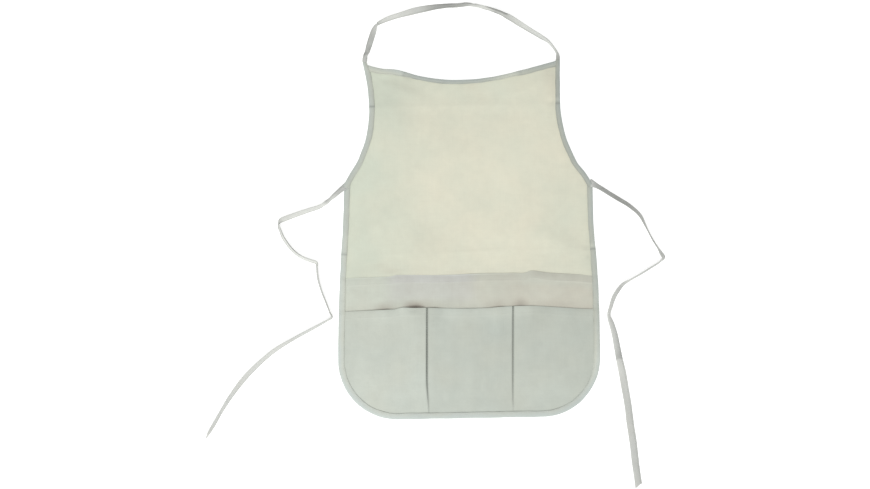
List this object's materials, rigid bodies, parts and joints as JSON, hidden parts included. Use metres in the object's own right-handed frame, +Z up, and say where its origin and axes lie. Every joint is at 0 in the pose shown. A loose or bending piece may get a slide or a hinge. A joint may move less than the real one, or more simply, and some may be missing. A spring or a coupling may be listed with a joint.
{
  "type": "painter apron",
  "caption": "Bib apron in cream cloth with grey edge tape, neck loop, waist ties and a row of pockets across the skirt, laid flat with its front up.",
  "frame": {"origin": "on the surface the apron lies on, under the middle of the apron with its neck loop", "axes": "+Y from the hem to the neck, +X across the apron towards the wearer's left side, +Z up out of the front"},
  "size_m": [0.9824, 1.0341, 0.0141],
  "materials": {
    "body_cloth": "matte cotton, cream",
    "backing_cloth": "matte cotton, light grey",
    "pocket_cloth": "matte cotton, light grey",
    "edge_tape": "matte cotton tape, light grey",
    "strap_tape": "matte cotton tape, light grey"
  },
  "bodies": {
    "root": {"body_panel": "body_cloth", "pocket_backing": "backing_cloth", "pocket_panel": "pocket_cloth", "neckline_binding": "edge_tape", "armhole_binding_left": "edge_tape", "armhole_binding_right": "edge_tape", "skirt_binding": "edge_tape", "neck_strap": "strap_tape", "waist_tie_left": "strap_tape", "waist_tie_right": "strap_tape"}
  },
  "joints": []
}
